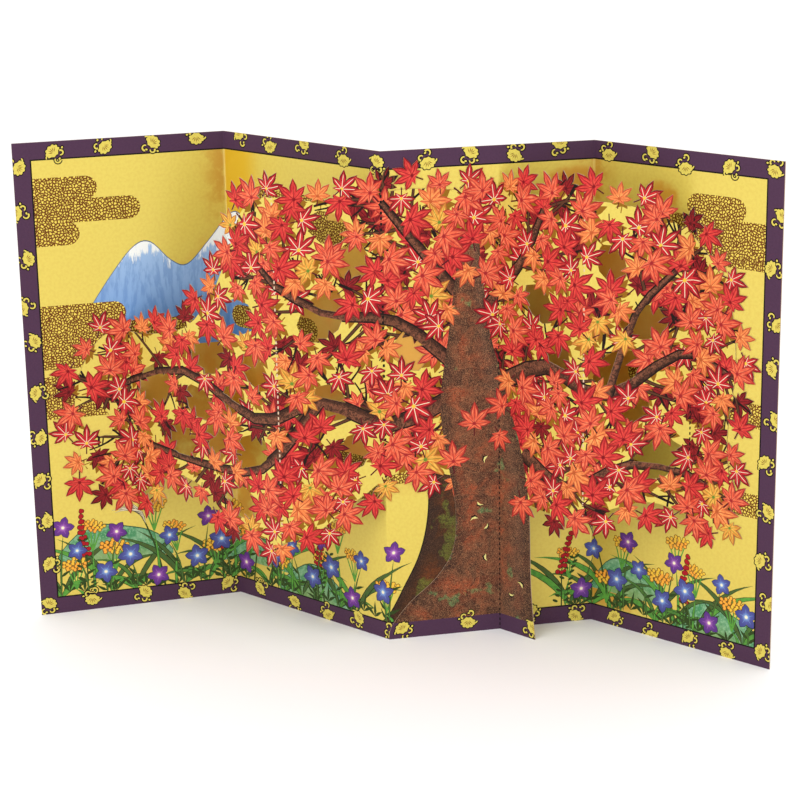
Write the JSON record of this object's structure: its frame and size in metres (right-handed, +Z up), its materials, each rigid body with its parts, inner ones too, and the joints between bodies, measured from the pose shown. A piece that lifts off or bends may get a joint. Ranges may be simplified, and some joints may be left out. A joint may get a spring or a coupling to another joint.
{
  "type": "greeting card",
  "caption": "Pop-up greeting card: a zigzag folding screen that stands on its edge, with a die-cut tree sheet folded in front of it.",
  "frame": {"origin": "middle of the footprint, on the surface that the card stands on", "axes": "+X along the screen from its left edge to its right edge, +Z up, -Y towards the viewer of the printed front"},
  "size_m": [0.2582, 0.0837, 0.175],
  "materials": {
    "screen_card": "gold-foiled and printed card with a matte dark purple border",
    "tree_card": "printed die-cut card with a light gold ground"
  },
  "bodies": {
    "root": {"folding_screen": "screen_card", "tree_sheet": "tree_card"}
  },
  "joints": []
}
